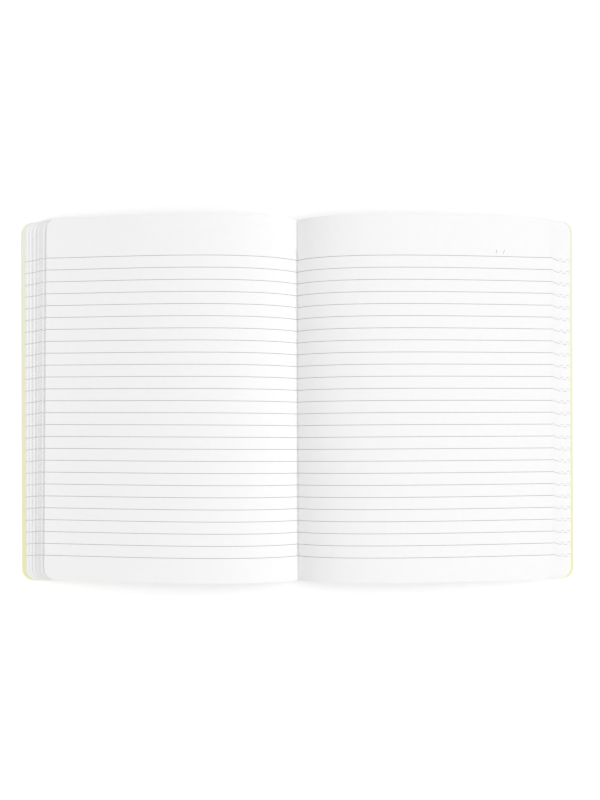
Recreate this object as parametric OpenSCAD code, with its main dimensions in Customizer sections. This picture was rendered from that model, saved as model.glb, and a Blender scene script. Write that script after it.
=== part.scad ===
// Composition notebook lying open at its middle, seen with the head of the pages towards +Y.
// The fold runs along Y at x = 0, the front half lies on the -X side and the back half on the +X side.
// The outer faces of both boards and of the spine tape lie in the plane z = 0.

/* [Covers] */
// Height of the notebook from head to tail
book_h = 247.65; // [200:0.05:300]
// Reach of a cover board from the fold to its outer edge
board_reach = 190.5; // [160:0.5:230]
// Thickness of a cover board
board_t = 1; // [0.9:0.05:2]
// Distance from the fold to the inner edge of a board
board_gap = 3; // [2:0.25:5]
// Radius of the rounded corners of boards and leaves
corner_r = 8; // [3:0.5:15]

/* [Spine tape] */
// Width of the cloth tape across both boards
tape_w = 30; // [20:1:44]
// Thickness of the cloth tape
tape_t = 0.3; // [0.2:0.02:0.34]
// Depth that the glue film takes between tape and board
glue_t = 0.05; // [0.02:0.01:0.1]

/* [Leaves] */
// Number of leaves on each side of the fold
leaves = 50; // [30:1:80]
// Thickness of one leaf
leaf_t = 0.08; // [0.06:0.005:0.11]
// Margin by which the front board stands out past the lowest leaf
front_margin = 2.1; // [1:0.1:5]
// Margin by which the back board stands out past the lowest leaf
back_margin = 1.5; // [1:0.1:5]
// Inset of the top leaf's outer edge from the lowest leaf's, front half
front_fan = 16; // [10:0.5:22]
// Inset of the top leaf's outer edge from the lowest leaf's, back half
back_fan = 15; // [10:0.5:22]
// Height of the top leaf's outer edge above the boards
edge_h = 9; // [6:0.5:14]
// Number of leaves that stand free at the top of the fan
top_leaves = 3; // [2:1:5]
// Share of the fan that lies below those free leaves
fan_under = 0.75; // [0.65:0.05:0.9]
// Groups that the leaves below part into
leaf_groups = 5; // [4:1:8]
// Share of the fan that a group's own leaf edges take, the rest is its uppermost leaf, lying bare
leaf_share = 0.6; // [0.4:0.05:0.75]
// Share of a group's height at the fold that its leaves fill, the rest is air
group_fill = 0.9; // [0.8:0.05:0.95]
// Depth of the air gaps between the groups at the cut edges
gap_depth = 3; // [1:0.5:5]
// Width of the slit between the two halves of the top sheet at the fold
fold_slit = 0.1; // [0.05:0.01:0.2]

/* [Arch] */
// Angle at which the top leaf rises out of the fold, front half
front_rise = 51; // [35:1:60]
// Angle at which the top leaf rises out of the fold, back half
back_rise = 55; // [35:1:60]
// Pull of the rise, front half: a longer pull makes a higher arch
front_rise_pull = 52; // [35:1:60]
// Pull of the rise, back half
back_rise_pull = 44; // [35:1:60]
// Angle at which the top leaf comes down to its outer edge, front half
front_fall = 7; // [3:0.5:14]
// Angle at which the top leaf comes down to its outer edge, back half
back_fall = 9.5; // [3:0.5:14]
// Pull of the fall on both halves
fall_pull = 46; // [30:1:60]

/* [Seam] */
// Length of one stitch
stitch = 10; // [6:0.5:16]
// Distance from the head to the first stitch
seam_head = 20.5; // [10:0.5:40]
// Distance from the tail to the last stitch
seam_tail = 16; // [10:0.5:40]
// Diameter of the thread that shows in the fold
thread_d = 0.45; // [0.35:0.05:0.8]
// Diameter of the thread that runs under the tape
under_thread_d = 0.4; // [0.3:0.02:0.44]
// Clearance round the thread
thread_clear = 0.05; // [0.02:0.01:0.1]

/* [Hidden] */
$fn = 64;
// Facets of the arch along a leaf
arch_steps = 22;
// Thickness of the closed stack of leaves on one side
stack_t = leaves * leaf_t;
// Height of the fold of the top sheet, which is also the height of the hinge line
fold_z = board_t + stack_t;
// A level is [place in the stack at the fold, place in the fan at the outer edge], each from 0 on the board
// to 1 on the top page. These are the shares of the levels that one group takes.
stack_under = 1 - top_leaves / leaves;
group_stack = stack_under / leaf_groups;
group_fan = leaf_share * fan_under / leaf_groups;
group_step = (fan_under - group_fan) / (leaf_groups - 1);
// Each half is [inset of the top leaf, rise, pull of the rise, fall, reach of the lowest leaf]
front = [front_fan, front_rise, front_rise_pull, front_fall, board_reach - front_margin];
back = [back_fan, back_rise, back_rise_pull, back_fall, board_reach - back_margin];
// Stitches in the seam, their real length, and the points where the thread goes through the fold
seam_l = book_h - seam_head - seam_tail;
stitches = round(seam_l / stitch);
stitch_l = seam_l / stitches;
stitch_y = [for (i = [0 : stitches]) seam_tail - book_h / 2 + i * stitch_l];
hole_r = thread_d / 2 + thread_clear;
// The thread lies in the V of the fold, held off by both slopes
thread_z = fold_z + hole_r / cos(max(front_rise, back_rise));
under_thread_z = (tape_t + board_t) / 2;
cover_color = "#e9ecb6";
tape_color = "#2b2b2d";
page_color = "#f6f6f4";
thread_color = "#eeeeec";

// Point at t on the curve that four control points pull
function curve_point(p, t) =
    pow(1 - t, 3) * p[0] + 3 * t * pow(1 - t, 2) * p[1] + 3 * t * t * (1 - t) * p[2] + pow(t, 3) * p[3];

// Control points of the leaf at a level, in x and z: the air under it grows towards the top of the fan
function leaf_pull(half, level, inset) =
    let (
        fold = [fold_slit / 2, board_t + level[0] * stack_t],
        air = (edge_h - stack_t) * pow(level[1], 2),
        edge = [half[4] - level[1] * half[0] - inset, fold[1] + air],
        rise = level[0] * half[1],
        fall = level[1] * half[3]
    )
    [
        fold,
        fold + half[2] * [cos(rise), sin(rise)],
        edge + fall_pull * [-cos(fall), sin(fall)],
        edge
    ];

// Points along that leaf, closer together where it bends out of the fold
function leaf_curve(half, level, inset) =
    [for (i = [0 : arch_steps]) curve_point(leaf_pull(half, level, inset), pow(i / arch_steps, 1.25))];

function backwards(list) = [for (i = [len(list) - 1 : -1 : 0]) list[i]];

// Outline of a board or leaf with its two outer corners rounded
module sheet_outline(from_x, to_x, height) {
    corner_x = to_x - corner_r;
    translate([from_x, -height / 2])
        square([corner_x - from_x, height]);
    translate([from_x, -height / 2 + corner_r])
        square([to_x - from_x, height - 2 * corner_r]);
    for (y = [-1, 1])
        translate([corner_x, y * (height / 2 - corner_r)])
            circle(corner_r);
}

// Leaves between two levels, with the corners of their lowest leaf rounded
module leaf_group(half, low, high, inset) {
    reach = half[4] - low[1] * half[0] - inset;
    intersection() {
        rotate([90, 0, 0])
            linear_extrude(book_h, center = true)
                polygon(concat(leaf_curve(half, low, inset), backwards(leaf_curve(half, high, inset))));
        linear_extrude(book_h)
            sheet_outline(0, reach, book_h - 2 * inset);
    }
}

// Stack of leaves of one half: groups that part at the cut edges round a closed core, under free top leaves.
// The core reaches into the top leaves near the fold, where all leaves lie close.
module leaf_stack(half) {
    difference() {
        union() {
            for (i = [0 : leaf_groups - 1]) {
                low = [i * group_stack, i * group_step];
                leaf_group(half, low, low + [group_fill * group_stack, group_fan], 0);
            }
            leaf_group(half, [stack_under, 1 - group_fan], [1, 1], 0);
            core_low = [group_stack / 2, group_fan / 2];
            core_high = [1 - 1 / leaves, fan_under - group_fan / 2];
            leaf_group(half, core_low, core_high, gap_depth);
        }
        for (y = stitch_y)
            translate([0, y, 0])
                cylinder(r = hole_r, h = 2 * fold_z);
    }
}

// Board of one half, cut back on its outer face so that the tape lies flush
module board() {
    difference() {
        linear_extrude(board_t)
            sheet_outline(board_gap, board_reach, book_h);
        translate([0, -book_h, -1])
            cube([tape_w / 2 + glue_t, 2 * book_h, 1 + tape_t + glue_t]);
    }
}

module front_cover() {
    color(cover_color)
        mirror([1, 0, 0])
            board();
}

module back_cover() {
    color(cover_color)
        board();
}

module spine_tape() {
    color(tape_color)
        translate([-tape_w / 2, -book_h / 2, 0])
            cube([tape_w, book_h, tape_t]);
}

module front_pages() {
    color(page_color)
        mirror([1, 0, 0])
            leaf_stack(front);
}

module back_pages() {
    color(page_color)
        leaf_stack(back);
}

// Run of thread along the fold between two holes
module thread_run(y, z, d) {
    translate([0, y, z])
        rotate([-90, 0, 0])
            cylinder(d = d, h = stitch_l);
}

module sewing_thread() {
    color(thread_color)
        union() {
            for (i = [0 : stitches - 1]) {
                thread_run(stitch_y[i], thread_z, thread_d);
                thread_run(stitch_y[i], under_thread_z, under_thread_d);
            }
            for (y = stitch_y)
                translate([0, y, under_thread_z]) {
                    cylinder(d = under_thread_d, h = thread_z - under_thread_z);
                    sphere(d = under_thread_d);
                    translate([0, 0, thread_z - under_thread_z])
                        sphere(d = thread_d);
                }
        }
}

front_cover();
back_cover();
spine_tape();
front_pages();
back_pages();
sewing_thread();
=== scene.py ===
import math
import random

import bpy
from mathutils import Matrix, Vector


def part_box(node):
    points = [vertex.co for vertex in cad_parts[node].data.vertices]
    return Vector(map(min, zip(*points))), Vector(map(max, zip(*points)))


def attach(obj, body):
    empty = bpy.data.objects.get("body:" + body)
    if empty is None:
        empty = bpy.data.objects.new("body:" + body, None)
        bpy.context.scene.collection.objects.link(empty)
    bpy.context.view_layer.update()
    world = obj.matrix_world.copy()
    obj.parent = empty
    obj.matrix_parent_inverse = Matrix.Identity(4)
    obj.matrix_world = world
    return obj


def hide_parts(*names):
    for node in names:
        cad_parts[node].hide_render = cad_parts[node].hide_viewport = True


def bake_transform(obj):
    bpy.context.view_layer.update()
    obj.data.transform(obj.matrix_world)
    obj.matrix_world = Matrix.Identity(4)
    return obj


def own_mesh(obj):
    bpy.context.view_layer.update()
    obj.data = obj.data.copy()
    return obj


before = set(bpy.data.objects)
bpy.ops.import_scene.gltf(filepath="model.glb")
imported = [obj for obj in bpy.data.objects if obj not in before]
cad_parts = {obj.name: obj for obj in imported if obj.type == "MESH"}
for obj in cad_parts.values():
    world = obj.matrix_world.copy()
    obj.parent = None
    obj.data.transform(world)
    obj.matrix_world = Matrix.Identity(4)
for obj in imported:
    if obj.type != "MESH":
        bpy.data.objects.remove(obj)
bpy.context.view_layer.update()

# Cover boards. Two sheets of pressed card, cut with rounded outer corners, that carry all the pages.
# They lie flat on their outer faces, and show as a pale yellow margin past the lowest leaves.
# Their inner faces turn a greyer and lighter yellow towards the head.
mm = 0.001
board_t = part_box("back_cover")[1].z
book_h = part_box("back_cover")[1].y * 2
card_head_tone = "#edece1"
card_deep = "#e8ea9d"
card_head_range = 0.75
card_fibre = 3.5 * mm
card_tooth = 0.7 * mm


def linear(hex_colour):
    """The scene's linear colour, with alpha, of an sRGB hex value."""
    channels = [int(hex_colour[i : i + 2], 16) / 255 for i in (1, 3, 5)]
    return [c / 12.92 if c <= 0.04045 else ((c + 0.055) / 1.055) ** 2.4 for c in channels] + [1]


def add_node(owner, kind, settings=None, links=None):
    """Adds a node to a material or world, sets its inputs or properties, and links sockets to its inputs."""
    node = owner.node_tree.nodes.new(kind)
    for name, value in (settings or {}).items():
        if isinstance(name, int) or name in node.inputs:
            node.inputs[name].default_value = value
        else:
            setattr(node, name, value)
    for name, socket in (links or {}).items():
        owner.node_tree.links.new(socket, node.inputs[name])
    return node


def new_material(name):
    """An empty node material."""
    material = bpy.data.materials.new(name)
    material.use_nodes = True
    material.node_tree.nodes.clear()
    return material


# Pressed card, dyed through and calendered: matt, with a cloudy fibre and a faint felt tooth
card = new_material("pressed_card")
place = add_node(card, "ShaderNodeTexCoord")
fibre = add_node(
    card, "ShaderNodeTexNoise", {"Scale": 1 / card_fibre, "Detail": 4}, {"Vector": place.outputs["Object"]}
)
clouded = add_node(
    card, "ShaderNodeMath", {"operation": "MULTIPLY_ADD", 1: 1 - card_head_range, 2: card_head_range / 2},
    {0: fibre.outputs[0]},
)
axes = add_node(card, "ShaderNodeSeparateXYZ", {}, {"Vector": place.outputs["Object"]})
inside = add_node(
    card, "ShaderNodeMath", {"operation": "GREATER_THAN", 1: board_t / 2}, {0: axes.outputs["Z"]}
)
# The inner faces turn paler and greyer towards the head
toward_head = add_node(
    card, "ShaderNodeMapRange",
    {"From Min": book_h / 2, "From Max": -book_h / 2, "To Min": -card_head_range / 2, "To Max": card_head_range / 2},
    {"Value": axes.outputs["Y"]},
)
depth = add_node(
    card, "ShaderNodeMath", {"operation": "MULTIPLY_ADD"},
    {0: inside.outputs[0], 1: toward_head.outputs[0], 2: clouded.outputs[0]},
)
colour = add_node(
    card, "ShaderNodeMix", {"data_type": "RGBA", 6: linear(card_head_tone), 7: linear(card_deep)},
    {0: depth.outputs[0]},
)
tooth = add_node(
    card, "ShaderNodeTexNoise", {"Scale": 1 / card_tooth, "Detail": 2}, {"Vector": place.outputs["Object"]}
)
bump = add_node(
    card, "ShaderNodeBump", {"Strength": 0.35, "Distance": 0.05 * mm}, {"Height": tooth.outputs[0]}
)
surface = add_node(
    card, "ShaderNodeBsdfPrincipled", {"Roughness": 0.62, "Specular IOR Level": 0.35},
    {"Base Color": colour.outputs[2], "Normal": bump.outputs[0]},
)
add_node(card, "ShaderNodeOutputMaterial", {}, {"Surface": surface.outputs[0]})

for node in ("front_cover", "back_cover"):
    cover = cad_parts[node]
    cover.data.materials.clear()
    cover.data.materials.append(card)

# Leaves. Fifty sheets of ruled writing paper a side, folded through the spine, with rounded outer corners.
# Each flat sheet is bent along its own curve: it rises out of the fold, arches over and comes down to its
# outer edge, and the sheets fan out there in groups, under two that lie free below the top page.
leaves = 50
top_leaves = 3
fan_under = 0.75
groups = 5
leaf_share = 0.6
stack_t = 4 * mm
leaf_t = 0.06 * mm
fold_slit = 0.1 * mm
edge_h = 9 * mm
fall_pull = 46 * mm
corner_r = 8 * mm
corner_sides = 8
column_crowding = 1.25
crease = math.radians(35)
# Reach, fan, rise, pull and fall are those of the solids. Towards the top of the fan the outer edges lean to
# the head and turn, the uppermost group has its own spread, and each free leaf its own place.
# The ruling sits this much nearer the head than on the top page, on the lowest leaf and on the highest one,
# and strays from there from sheet to sheet.
halves = {
    "front": {
        "reach": -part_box("front_pages")[0].x, "fan": 16 * mm, "rise": 51, "rise_pull": 52 * mm, "fall": 7,
        "lean": 1.37 * mm, "turn": 0.59, "upper_fan": 0.2, "free": (0.955, 0.972),
        "ruled_low": 0.1 * mm, "ruled_top": 0.45 * mm, "stray": 0.4 * mm,
    },
    "back": {
        "reach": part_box("back_pages")[1].x, "fan": 15 * mm, "rise": 55, "rise_pull": 44 * mm, "fall": 9.5,
        "lean": 0.53 * mm, "turn": 0.31, "upper_fan": 0.09, "free": (0.8, 0.88),
        "ruled_low": -0.6 * mm, "ruled_top": -0.6 * mm, "stray": 1.1 * mm,
    },
}
lines = 26
head_margin = 27.6 * mm
tail_margin = 16.75 * mm
line_w = 0.29 * mm
line_pitch = (book_h - head_margin - tail_margin) / (lines - 1)
ink_grey = "#b2b2b2"
paper_cloud = 5 * mm
paper_tooth = 0.5 * mm


def active(piece):
    """Selects this piece alone and makes it the active one."""
    bpy.ops.object.select_all(action="DESELECT")
    piece.select_set(True)
    bpy.context.view_layer.objects.active = piece


def apply(piece, kind, **settings):
    """Adds a modifier with its settings and applies it."""
    active(piece)
    modifier = piece.modifiers.new(kind.lower(), kind)
    for name, value in settings.items():
        setattr(modifier, name, value)
    bpy.ops.object.modifier_apply(modifier=modifier.name)


def edit(piece, kind, wanted):
    """Opens edit mode on a piece with only the wanted points (VERT) or faces (FACE) selected."""
    active(piece)
    bpy.ops.object.mode_set(mode="EDIT")
    bpy.ops.mesh.select_mode(type=kind)
    bpy.ops.mesh.select_all(action="DESELECT")
    bpy.ops.object.mode_set(mode="OBJECT")
    for point in piece.data.vertices if kind == "VERT" else []:
        point.select = wanted(point.co)
    for face in piece.data.polygons if kind == "FACE" else []:
        face.select = wanted(face.center)
    bpy.ops.object.mode_set(mode="EDIT")


def cut_across(piece, places, normal, wanted=lambda middle: True):
    """Cuts the wanted faces by planes through the given places."""
    for at in places:
        edit(piece, "FACE", wanted)
        bpy.ops.mesh.bisect(plane_co=at, plane_no=normal)
        bpy.ops.object.mode_set(mode="OBJECT")


def flat_leaf(name, reach, columns):
    """A flat sheet from the fold at x = 0 to its outer edge, with that edge's two corners rounded.
    Its columns lie closer together towards the fold, where it bends most."""
    bpy.ops.object.select_all(action="DESELECT")
    bpy.ops.mesh.primitive_plane_add(size=1, location=(reach / 2, 0, 0))
    leaf = bpy.context.object
    leaf.name = name
    leaf.scale = (reach, book_h, 1)
    bpy.ops.object.transform_apply(location=True, rotation=False, scale=True)
    edit(leaf, "VERT", lambda corner: corner.x > reach / 2)
    bpy.ops.mesh.bevel(offset=corner_r, segments=corner_sides, affect="VERTICES")
    bpy.ops.object.mode_set(mode="OBJECT")
    bends = [(reach * (i / columns) ** column_crowding, 0, 0) for i in range(1, columns)]
    cut_across(leaf, bends, (1, 0, 0))
    return leaf


def bend(piece, knots, handles=None, twist="Z_UP"):
    """Bends a piece that lies along +X onto a smooth curve through the knots, and stretches it to fit."""
    bpy.ops.object.select_all(action="DESELECT")
    bpy.ops.curve.primitive_bezier_curve_add(location=(0, 0, 0))
    rail = bpy.context.object
    rail.data.resolution_u = 32
    rail.data.use_stretch = True
    rail.data.use_deform_bounds = True
    rail.data.twist_mode = twist
    points = rail.data.splines[0].bezier_points
    points.add(len(knots) - 2)
    for point, knot in zip(points, knots):
        point.handle_left_type = point.handle_right_type = "FREE" if handles else "AUTO"
        point.co = point.handle_left = point.handle_right = knot
    if handles:
        points[0].handle_right, points[1].handle_left = handles
    apply(piece, "CURVE", object=rail, deform_axis="POS_X")
    bpy.data.objects.remove(rail)


def leaf_rail(half, stack_level, fan_level):
    """Ends and handles of the curve of a leaf's upper side, by its place in the stack and in the fan.
    Both places run from 0 on the board to 1 on the top page."""
    rise = math.radians(stack_level * half["rise"])
    fall = math.radians(fan_level * half["fall"])
    turn = math.radians(fan_level * half["turn"])
    fold = Vector((fold_slit / 2, 0, board_t + stack_level * stack_t))
    air = (edge_h - stack_t) * fan_level**2
    edge = Vector((half["reach"] - fan_level * half["fan"], fan_level * half["lean"], fold.z + air))
    rising = fold + half["rise_pull"] * Vector((math.cos(rise), 0, math.sin(rise)))
    falling = edge + fall_pull * Vector((-math.cos(fall), -math.sin(turn), math.sin(fall)))
    return [fold, edge], [rising, falling]


def finish_leaves(piece, side):
    """Turns the front half's leaves to its side, shades them and ties them to their body and the hinge."""
    active(piece)
    if side == "front":
        piece.scale.x = -1
        bpy.ops.object.transform_apply(location=False, rotation=False, scale=True)
    bpy.ops.object.mode_set(mode="EDIT")
    bpy.ops.mesh.select_all(action="SELECT")
    bpy.ops.mesh.normals_make_consistent(inside=False)
    bpy.ops.object.mode_set(mode="OBJECT")
    bpy.ops.object.shade_smooth_by_angle(angle=crease)
    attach(piece, side + "_half")
    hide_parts(side + "_pages")
    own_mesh(piece)


def writing_paper(name, white, grey, ruled):
    """Uncoated, machine-finished writing paper: matt white with a faint cloudiness where fibres lie thicker.
    The tooth is drawn about twice as coarse as the real one, which would be too fine to show."""
    paper = new_material(name)
    place = add_node(paper, "ShaderNodeTexCoord")
    cloud = add_node(
        paper, "ShaderNodeTexNoise", {"Scale": 1 / paper_cloud, "Detail": 5},
        {"Vector": place.outputs["Object"]},
    )
    colour = add_node(
        paper, "ShaderNodeMix", {"data_type": "RGBA", 6: linear(white), 7: linear(grey)},
        {0: cloud.outputs[0]},
    )
    if ruled:
        along = add_node(paper, "ShaderNodeSeparateXYZ", {}, {"Vector": place.outputs["UV"]})
        count = add_node(
            paper, "ShaderNodeMath",
            {"operation": "MULTIPLY_ADD", 1: book_h / line_pitch, 2: -tail_margin / line_pitch},
            {0: along.outputs["Y"]},
        )
        off_line = add_node(paper, "ShaderNodeMath", {"operation": "PINGPONG", 1: 0.5}, {0: count.outputs[0]})
        on_line = add_node(
            paper, "ShaderNodeMath", {"operation": "LESS_THAN", 1: line_w / line_pitch / 2},
            {0: off_line.outputs[0]},
        )
        ruling = add_node(
            paper, "ShaderNodeMath", {"operation": "COMPARE", 1: (lines - 1) / 2, 2: lines / 2},
            {0: count.outputs[0]},
        )
        inked = add_node(
            paper, "ShaderNodeMath", {"operation": "MULTIPLY"}, {0: on_line.outputs[0], 1: ruling.outputs[0]}
        )
        colour = add_node(
            paper, "ShaderNodeMix", {"data_type": "RGBA", 7: linear(ink_grey)},
            {0: inked.outputs[0], 6: colour.outputs[2]},
        )
    tooth = add_node(
        paper, "ShaderNodeTexNoise", {"Scale": 1 / paper_tooth, "Detail": 2},
        {"Vector": place.outputs["Object"]},
    )
    bump = add_node(
        paper, "ShaderNodeBump", {"Strength": 0.15, "Distance": 0.03 * mm}, {"Height": tooth.outputs[0]}
    )
    surface = add_node(
        paper, "ShaderNodeBsdfPrincipled", {"Roughness": 0.88, "Specular IOR Level": 0.25},
        {"Base Color": colour.outputs[2], "Normal": bump.outputs[0]},
    )
    add_node(paper, "ShaderNodeOutputMaterial", {}, {"Surface": surface.outputs[0]})
    return paper


# The leaves' paper is painted a shade whiter than the top pages', as painted light for the light that real
# paper passes on to the sheets below it
ruled_paper = writing_paper("ruled_writing_paper", "#fafafa", "#f6f6f6", ruled=True)
dice = random.Random(11)
grouped = leaves - top_leaves
group_fan = leaf_share * fan_under / groups
group_step = (fan_under - group_fan) / (groups - 1)
group_stray = 0.15 * group_step
for side, half in halves.items():
    template = flat_leaf("flat_leaf", half["reach"], columns=24)
    for group in range(groups + 1):
        # The grouped leaves part evenly, and the free leaves below the top page make one more group
        members = [n for n in range(leaves - 1) if min(n, grouped) * groups // grouped == group]
        low = group * group_step
        if 0 < group < groups:
            low += dice.uniform(-1, 1) * group_stray
        spread = half["upper_fan"] if group == groups - 1 else group_fan
        fan_levels = [low + spread * i / len(members) for i in range(len(members))]
        if group == groups:
            fan_levels = half["free"]
        bent = []
        for leaf, fan_level in zip(members, fan_levels):
            sheet = template.copy()
            sheet.data = template.data.copy()
            bpy.context.scene.collection.objects.link(sheet)
            stack_level = (leaf + 1) / leaves
            # The sheets were ruled before they were sewn, so the ruling drifts from sheet to sheet
            drift = half["ruled_low"] + fan_level * (half["ruled_top"] - half["ruled_low"])
            shift = drift + dice.uniform(-1, 1) * half["stray"]
            for corner in sheet.data.uv_layers.active.data:
                corner.uv.y -= shift / book_h
            bend(sheet, *leaf_rail(half, stack_level, fan_level))
            apply(sheet, "SOLIDIFY", thickness=leaf_t, offset=-1)
            bent.append(sheet)
        active(bent[0])
        for sheet in bent:
            sheet.select_set(True)
        bpy.ops.object.join()
        piece = bpy.context.object
        piece.name = f"{side}_leaves_{group + 1}"
        piece.data.materials.append(ruled_paper)
        finish_leaves(piece, side)
    bpy.data.objects.remove(template)

# Top pages. The two halves of the middle sheet, on which the notebook lies open.
# Their ruling is printed in grey ink, and their folded edge is pricked where the thread passes.
stitch_first = -107.825 * mm
stitch_l = 10.055 * mm
stitches = 21
hole_r = 0.275 * mm
hole_depth = 2.2 * mm
date_from_edge = (41.2 * mm, 35.7 * mm)
date_low = 2 * mm
date_h = 2.4 * mm
date_lean = 0.35
stitch_y = [stitch_first + i * stitch_l for i in range(stitches + 1)]
line_y = [tail_margin - book_h / 2 + i * line_pitch for i in range(lines)]

page_paper = writing_paper("page_paper", "#f8f8f8", "#f4f4f4", ruled=False)

# Offset printing ink, thin enough to keep the paper's matt look
ruling_ink = new_material("ruling_ink")
place = add_node(ruling_ink, "ShaderNodeTexCoord")
density = add_node(
    ruling_ink, "ShaderNodeTexNoise", {"Scale": 1 / paper_tooth, "Detail": 2},
    {"Vector": place.outputs["Object"]},
)
colour = add_node(
    ruling_ink, "ShaderNodeMix", {"data_type": "RGBA", 6: linear("#8e8e8e"), 7: linear("#979797")},
    {0: density.outputs[0]},
)
surface = add_node(
    ruling_ink, "ShaderNodeBsdfPrincipled", {"Roughness": 0.8, "Specular IOR Level": 0.25},
    {"Base Color": colour.outputs[2]},
)
add_node(ruling_ink, "ShaderNodeOutputMaterial", {}, {"Surface": surface.outputs[0]})


def prick(page):
    """Notches the folded edge with half of each needle hole."""
    reached = hole_r / 10
    turns = [math.radians(angle) for angle in (0, 45, 90, 135, 180)]
    for y in stitch_y:
        near = lambda middle: middle.x < hole_depth and abs(middle.y - y) < line_pitch / 2
        cut_across(page, [(0, y + hole_r * math.cos(turn), 0) for turn in turns], (0, 1, 0), near)
        for turn in turns[1:-1]:
            at = Vector((0, y + hole_r * math.cos(turn), 0))
            for point in page.data.vertices:
                if (point.co - at).length < reached:
                    point.co.x = hole_r * math.sin(turn)


def print_lines(page):
    """Cuts the page along both sides of every ruled line, and inks the faces between."""
    cut_across(page, [(0, y + s * line_w / 2, 0) for y in line_y for s in (-1, 1)], (0, 1, 0))
    for face in page.data.polygons:
        if any(abs(face.center.y - y) < line_w / 2 for y in line_y):
            face.material_index = 1


def print_date_strokes(page):
    """Two slanting strokes above the first line, where a date goes: a plain mark with no lettering."""
    low = line_y[-1] + date_low
    for back_from_edge in date_from_edge:
        foot = Vector((halves["back"]["reach"] - back_from_edge, low, 0))
        lean = Vector((date_lean, 1, 0)).normalized()
        across = Vector((lean.y, -lean.x, 0))
        near = lambda middle: abs(middle.x - foot.x) < 2 * date_h and line_y[-1] + line_w < middle.y
        cut_across(page, [foot, foot + Vector((0, date_h, 0))], (0, 1, 0), near)
        beside = lambda middle: near(middle) and foot.y < middle.y < foot.y + date_h
        cut_across(page, [foot - across * line_w / 2, foot + across * line_w / 2], across, beside)
        for face in page.data.polygons:
            if beside(face.center) and abs((face.center - foot).dot(across)) < line_w / 2:
                face.material_index = 1


for side, half in halves.items():
    page = flat_leaf(side + "_top_page", half["reach"], columns=36)
    print_lines(page)
    if side == "back":
        print_date_strokes(page)
    prick(page)
    page.data.materials.append(page_paper)
    page.data.materials.append(ruling_ink)
    bend(page, *leaf_rail(half, 1, 1))
    apply(page, "SOLIDIFY", thickness=leaf_t, offset=-1)
    # Closed, the two top pages lie face to face with a small gap between them
    finish_leaves(page, side)

# Seam. One lockstitch seam through the fold holds all the sheets: a two-ply cotton thread shows in the fold,
# dips into every needle hole and meets the under thread halfway down, which runs on under the tape.
thread_d = 0.45 * mm
under_thread_d = 0.4 * mm
thread_z = board_t + stack_t + hole_r / math.cos(math.radians(halves["back"]["rise"]))
under_thread_z = 0.65 * mm
knot_z = board_t + stack_t / 2
ply_turn = 1.3 * mm
ply_crease = math.radians(60)
cotton_fuzz = 0.25 * mm

# Bleached cotton sewing thread: soft, matt, with fibres that catch a little light
cotton = new_material("bleached_cotton_thread")
place = add_node(cotton, "ShaderNodeTexCoord")
fuzz = add_node(
    cotton, "ShaderNodeTexNoise", {"Scale": 1 / cotton_fuzz, "Detail": 3}, {"Vector": place.outputs["Object"]}
)
colour = add_node(
    cotton, "ShaderNodeMix", {"data_type": "RGBA", 6: linear("#fafafa"), 7: linear("#eeeeee")},
    {0: fuzz.outputs[0]},
)
surface = add_node(
    cotton, "ShaderNodeBsdfPrincipled", {"Roughness": 0.9, "Specular IOR Level": 0.2, "Sheen Weight": 0.3},
    {"Base Color": colour.outputs[2]},
)
add_node(cotton, "ShaderNodeOutputMaterial", {}, {"Surface": surface.outputs[0]})


def stitch_run(diameter, run_z, turn, sides):
    """One stitch of two twisted plies along the fold, bent at both ends to the knots in the needle holes."""
    ply_r = 0.3 * diameter
    ply_offset = 0.2 * diameter
    weld = diameter / 100
    rise = run_z - knot_z
    turns = round((stitch_l + 2 * abs(rise)) / turn)
    plies = []
    for side in (-1, 1):
        bpy.ops.object.select_all(action="DESELECT")
        bpy.ops.mesh.primitive_circle_add(vertices=sides, radius=ply_r, location=(0, side * ply_offset, 0))
        ply = bpy.context.object
        bpy.ops.object.transform_apply(location=True)
        apply(ply, "SCREW", axis="X", screw_offset=turn, iterations=turns, steps=8, render_steps=8)
        plies.append(ply)
    for ply in plies:
        ply.select_set(True)
    bpy.ops.object.join()
    thread = bpy.context.object
    bpy.ops.object.mode_set(mode="EDIT")
    bpy.ops.mesh.select_all(action="SELECT")
    bpy.ops.mesh.remove_doubles(threshold=weld)
    bpy.ops.mesh.select_all(action="SELECT")
    bpy.ops.mesh.fill_holes(sides=0)
    bpy.ops.mesh.select_all(action="SELECT")
    bpy.ops.mesh.normals_make_consistent(inside=False)
    bpy.ops.object.mode_set(mode="OBJECT")
    # The thread leaves its knot straight, turns through a shoulder into the run, and goes the same way back
    leg = diameter / 4
    straight = 0.7 * rise
    shoulder_y = leg + 0.35 * abs(rise)
    shoulder_z = knot_z + 0.98 * rise
    start = [(leg, knot_z), (leg, knot_z + straight), (shoulder_y, shoulder_z)]
    end = [(stitch_l - y, z) for y, z in reversed(start)]
    bend(thread, [Vector((0, y, z)) for y, z in start + [(stitch_l / 2, run_z)] + end], twist="MINIMUM")
    return thread


upper_run = stitch_run(thread_d, thread_z, ply_turn, sides=6)
lower_run = stitch_run(under_thread_d, under_thread_z, 3 * ply_turn, sides=5)
active(upper_run)
lower_run.select_set(True)
bpy.ops.object.join()
seam = bpy.context.object
seam.name = "seam_thread"
bpy.ops.transform.translate(value=(0, stitch_y[0], 0))
bpy.ops.object.transform_apply(location=True)
apply(
    seam, "ARRAY", count=stitches, use_relative_offset=False, use_constant_offset=True,
    constant_offset_displace=(0, stitch_l, 0),
)
active(seam)
bpy.ops.object.shade_smooth_by_angle(angle=ply_crease)
seam.data.materials.append(cotton)
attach(seam, "back_half")
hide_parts("sewing_thread")

# Spine tape. A strip of woven book cloth, glued round the outside of the fold onto both boards.
# It lies under the fold while the notebook is open.
tape_low, tape_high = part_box("spine_tape")
tape_w = tape_high.x - tape_low.x
tape_t = tape_high.z - tape_low.z
weave_pitch = 0.8 * mm
edge_round = 0.06 * mm
free_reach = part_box("back_cover")[0].x
strips = 16

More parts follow.
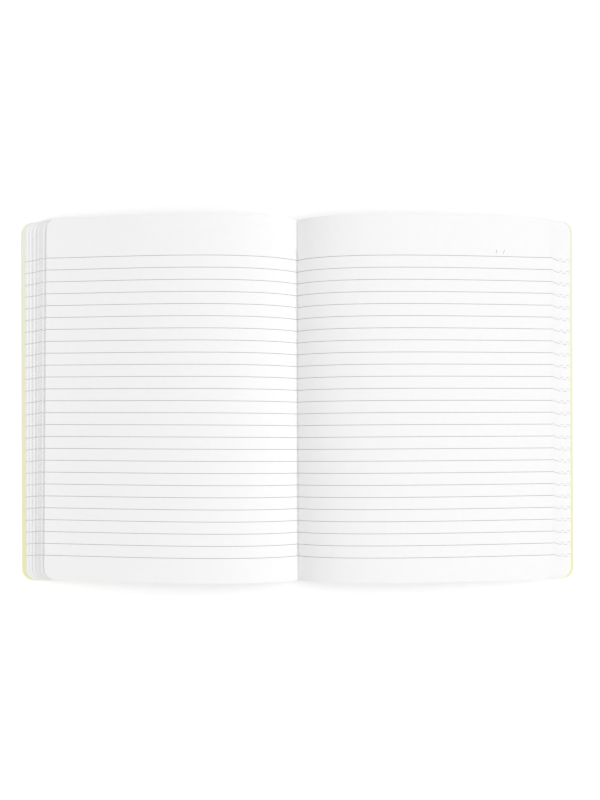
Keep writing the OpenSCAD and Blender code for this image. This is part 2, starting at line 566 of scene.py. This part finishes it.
bpy.ops.object.select_all(action="DESELECT")
bpy.ops.mesh.primitive_plane_add(size=1, location=(0, 0, tape_t))
tape = bpy.context.object
tape.name = "cloth_tape"
tape.scale = (tape_w, book_h, 1)
bpy.ops.object.transform_apply(location=True, rotation=False, scale=True)
cut_across(tape, [(free_reach * (2 * i / strips - 1), 0, 0) for i in range(strips + 1)], (1, 0, 0))
apply(tape, "SOLIDIFY", thickness=tape_t, offset=-1)
apply(tape, "BEVEL", width=edge_round, segments=2, limit_method="ANGLE", angle_limit=math.radians(60))
active(tape)
bpy.ops.object.shade_smooth_by_angle(angle=crease)

# Dyed, starch-filled book cloth in plain weave, drawn twice as coarse as the real threads so that it shows
cloth = new_material("woven_book_cloth")
place = add_node(cloth, "ShaderNodeTexCoord")
threads = add_node(
    cloth, "ShaderNodeMapping", {"Scale": (tape_w / weave_pitch, book_h / weave_pitch, 1)},
    {"Vector": place.outputs["UV"]},
)
over = add_node(
    cloth, "ShaderNodeTexChecker", {"Scale": 1, "Color1": (0, 0, 0, 1), "Color2": (1, 1, 1, 1)},
    {"Vector": threads.outputs[0]},
)
count = add_node(cloth, "ShaderNodeSeparateXYZ", {}, {"Vector": threads.outputs[0]})
yarns = []
for axis in ("X", "Y"):
    half_turn = add_node(
        cloth, "ShaderNodeMath", {"operation": "MULTIPLY", 1: math.pi}, {0: count.outputs[axis]}
    )
    wave = add_node(cloth, "ShaderNodeMath", {"operation": "SINE"}, {0: half_turn.outputs[0]})
    yarns.append(add_node(cloth, "ShaderNodeMath", {"operation": "ABSOLUTE"}, {0: wave.outputs[0]}))
height = add_node(
    cloth, "ShaderNodeMix", {"data_type": "FLOAT"},
    {0: over.outputs["Fac"], 2: yarns[0].outputs[0], 3: yarns[1].outputs[0]},
)
# The colour darkens from each yarn's crest to its edges: painted shade in the hollows of the weave
colour = add_node(
    cloth, "ShaderNodeMix", {"data_type": "RGBA", 6: linear("#1d1d1f"), 7: linear("#38383b")},
    {0: height.outputs[0]},
)
bump = add_node(
    cloth, "ShaderNodeBump", {"Strength": 0.6, "Distance": 0.15 * mm}, {"Height": height.outputs[0]}
)
surface = add_node(
    cloth, "ShaderNodeBsdfPrincipled", {"Roughness": 0.75, "Specular IOR Level": 0.3, "Sheen Weight": 0.15},
    {"Base Color": colour.outputs[2], "Normal": bump.outputs[0]},
)
add_node(cloth, "ShaderNodeOutputMaterial", {}, {"Surface": surface.outputs[0]})
tape.data.materials.append(cloth)
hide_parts("spine_tape")
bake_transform(tape)

# Studio. A plain white sweep under the notebook, an even white surround and one large soft lamp
# from the right, as in the photograph, where the slopes that face right are the lightest.
floor_z = -0.2 * mm
floor_size = 12
floor_albedo = 0.8
floor_shown = 1.11
sweep_near = 0.3
sweep_far = 0.7
air_strength = 0.735
lamp_distance = 5
lamp_size = 3.2
lamp_lean = math.radians(38)
lamp_to_head = 0.02
lamp_share = 0.39

bpy.ops.object.select_all(action="DESELECT")
bpy.ops.mesh.primitive_plane_add(size=floor_size, location=(0, 0, floor_z))
floor = bpy.context.object
floor.name = "studio_floor"

# The camera sees a whiter floor than the light does, so the shadow stays, and pure white further out
sweep = new_material("white_sweep")
seen = add_node(sweep, "ShaderNodeLightPath")
shade = add_node(
    sweep, "ShaderNodeMix",
    {"data_type": "RGBA", 6: [floor_albedo] * 3 + [1], 7: [floor_shown] * 3 + [1]},
    {0: seen.outputs["Is Camera Ray"]},
)
matt = add_node(sweep, "ShaderNodeBsdfDiffuse", {}, {"Color": shade.outputs[2]})
place = add_node(sweep, "ShaderNodeTexCoord")
reach = add_node(sweep, "ShaderNodeVectorMath", {"operation": "LENGTH"}, {0: place.outputs["Object"]})
away = add_node(
    sweep, "ShaderNodeMapRange",
    {"interpolation_type": "SMOOTHSTEP", "From Min": sweep_near, "From Max": sweep_far},
    {"Value": reach.outputs["Value"]},
)
shown = add_node(
    sweep, "ShaderNodeMath", {"operation": "MULTIPLY"}, {0: away.outputs[0], 1: seen.outputs["Is Camera Ray"]}
)
white = add_node(sweep, "ShaderNodeEmission", {"Color": (1, 1, 1, 1), "Strength": 1})
mixed = add_node(
    sweep, "ShaderNodeMixShader", {}, {0: shown.outputs[0], 1: matt.outputs[0], 2: white.outputs[0]}
)
add_node(sweep, "ShaderNodeOutputMaterial", {}, {"Surface": mixed.outputs[0]})
floor.data.materials.append(sweep)

# The camera, mirrors and clear pieces see white, and the notebook is lit by a dimmer surround
air = bpy.data.worlds.new("studio_air")
bpy.context.scene.world = air
air.use_nodes = True
air.node_tree.nodes.clear()
seen = add_node(air, "ShaderNodeLightPath")
mirrored = add_node(
    air, "ShaderNodeMath", {"operation": "MAXIMUM"},
    {0: seen.outputs["Is Glossy Ray"], 1: seen.outputs["Is Transmission Ray"]},
)
shown = add_node(
    air, "ShaderNodeMath", {"operation": "MAXIMUM"},
    {0: seen.outputs["Is Camera Ray"], 1: mirrored.outputs[0]},
)
dim = add_node(air, "ShaderNodeBackground", {"Color": (1, 1, 1, 1), "Strength": air_strength})
white = add_node(air, "ShaderNodeBackground", {"Color": (1, 1, 1, 1), "Strength": 1})
mixed = add_node(
    air, "ShaderNodeMixShader", {}, {0: shown.outputs[0], 1: dim.outputs[0], 2: white.outputs[0]}
)
add_node(air, "ShaderNodeOutputWorld", {}, {"Surface": mixed.outputs[0]})

lamp_at = Vector((math.sin(lamp_lean), lamp_to_head, math.cos(lamp_lean))) * lamp_distance
bpy.ops.object.light_add(type="AREA", location=lamp_at)
lamp = bpy.context.object
lamp.name = "soft_lamp"
lamp.rotation_euler = (-lamp_at).to_track_quat("-Z", "Y").to_euler()
lamp.data.size = lamp_size
# A matt white face turned to the lamp shows this share of full white
lamp.data.energy = lamp_share * (math.pi * lamp_distance) ** 2

# The camera looks straight down, turned by a fifth of a degree as the photograph is. Its frame sits a little
# above the point below it.
camera_at = Vector((1.6, -34.25, 750)) * mm
camera_roll = math.radians(-0.19)
pixels_per_mm = 1.442
frame_h = 800
frame_rise = 50
sensor = 36
bpy.ops.object.camera_add(location=camera_at, rotation=(0, 0, camera_roll))
camera = bpy.context.object
camera.name = "studio_camera"
camera.data.sensor_width = sensor
camera.data.lens = sensor * camera_at.z / mm * pixels_per_mm / frame_h
camera.data.shift_y = frame_rise / frame_h
bpy.context.scene.camera = camera
bpy.context.scene.view_settings.view_transform = "Standard"
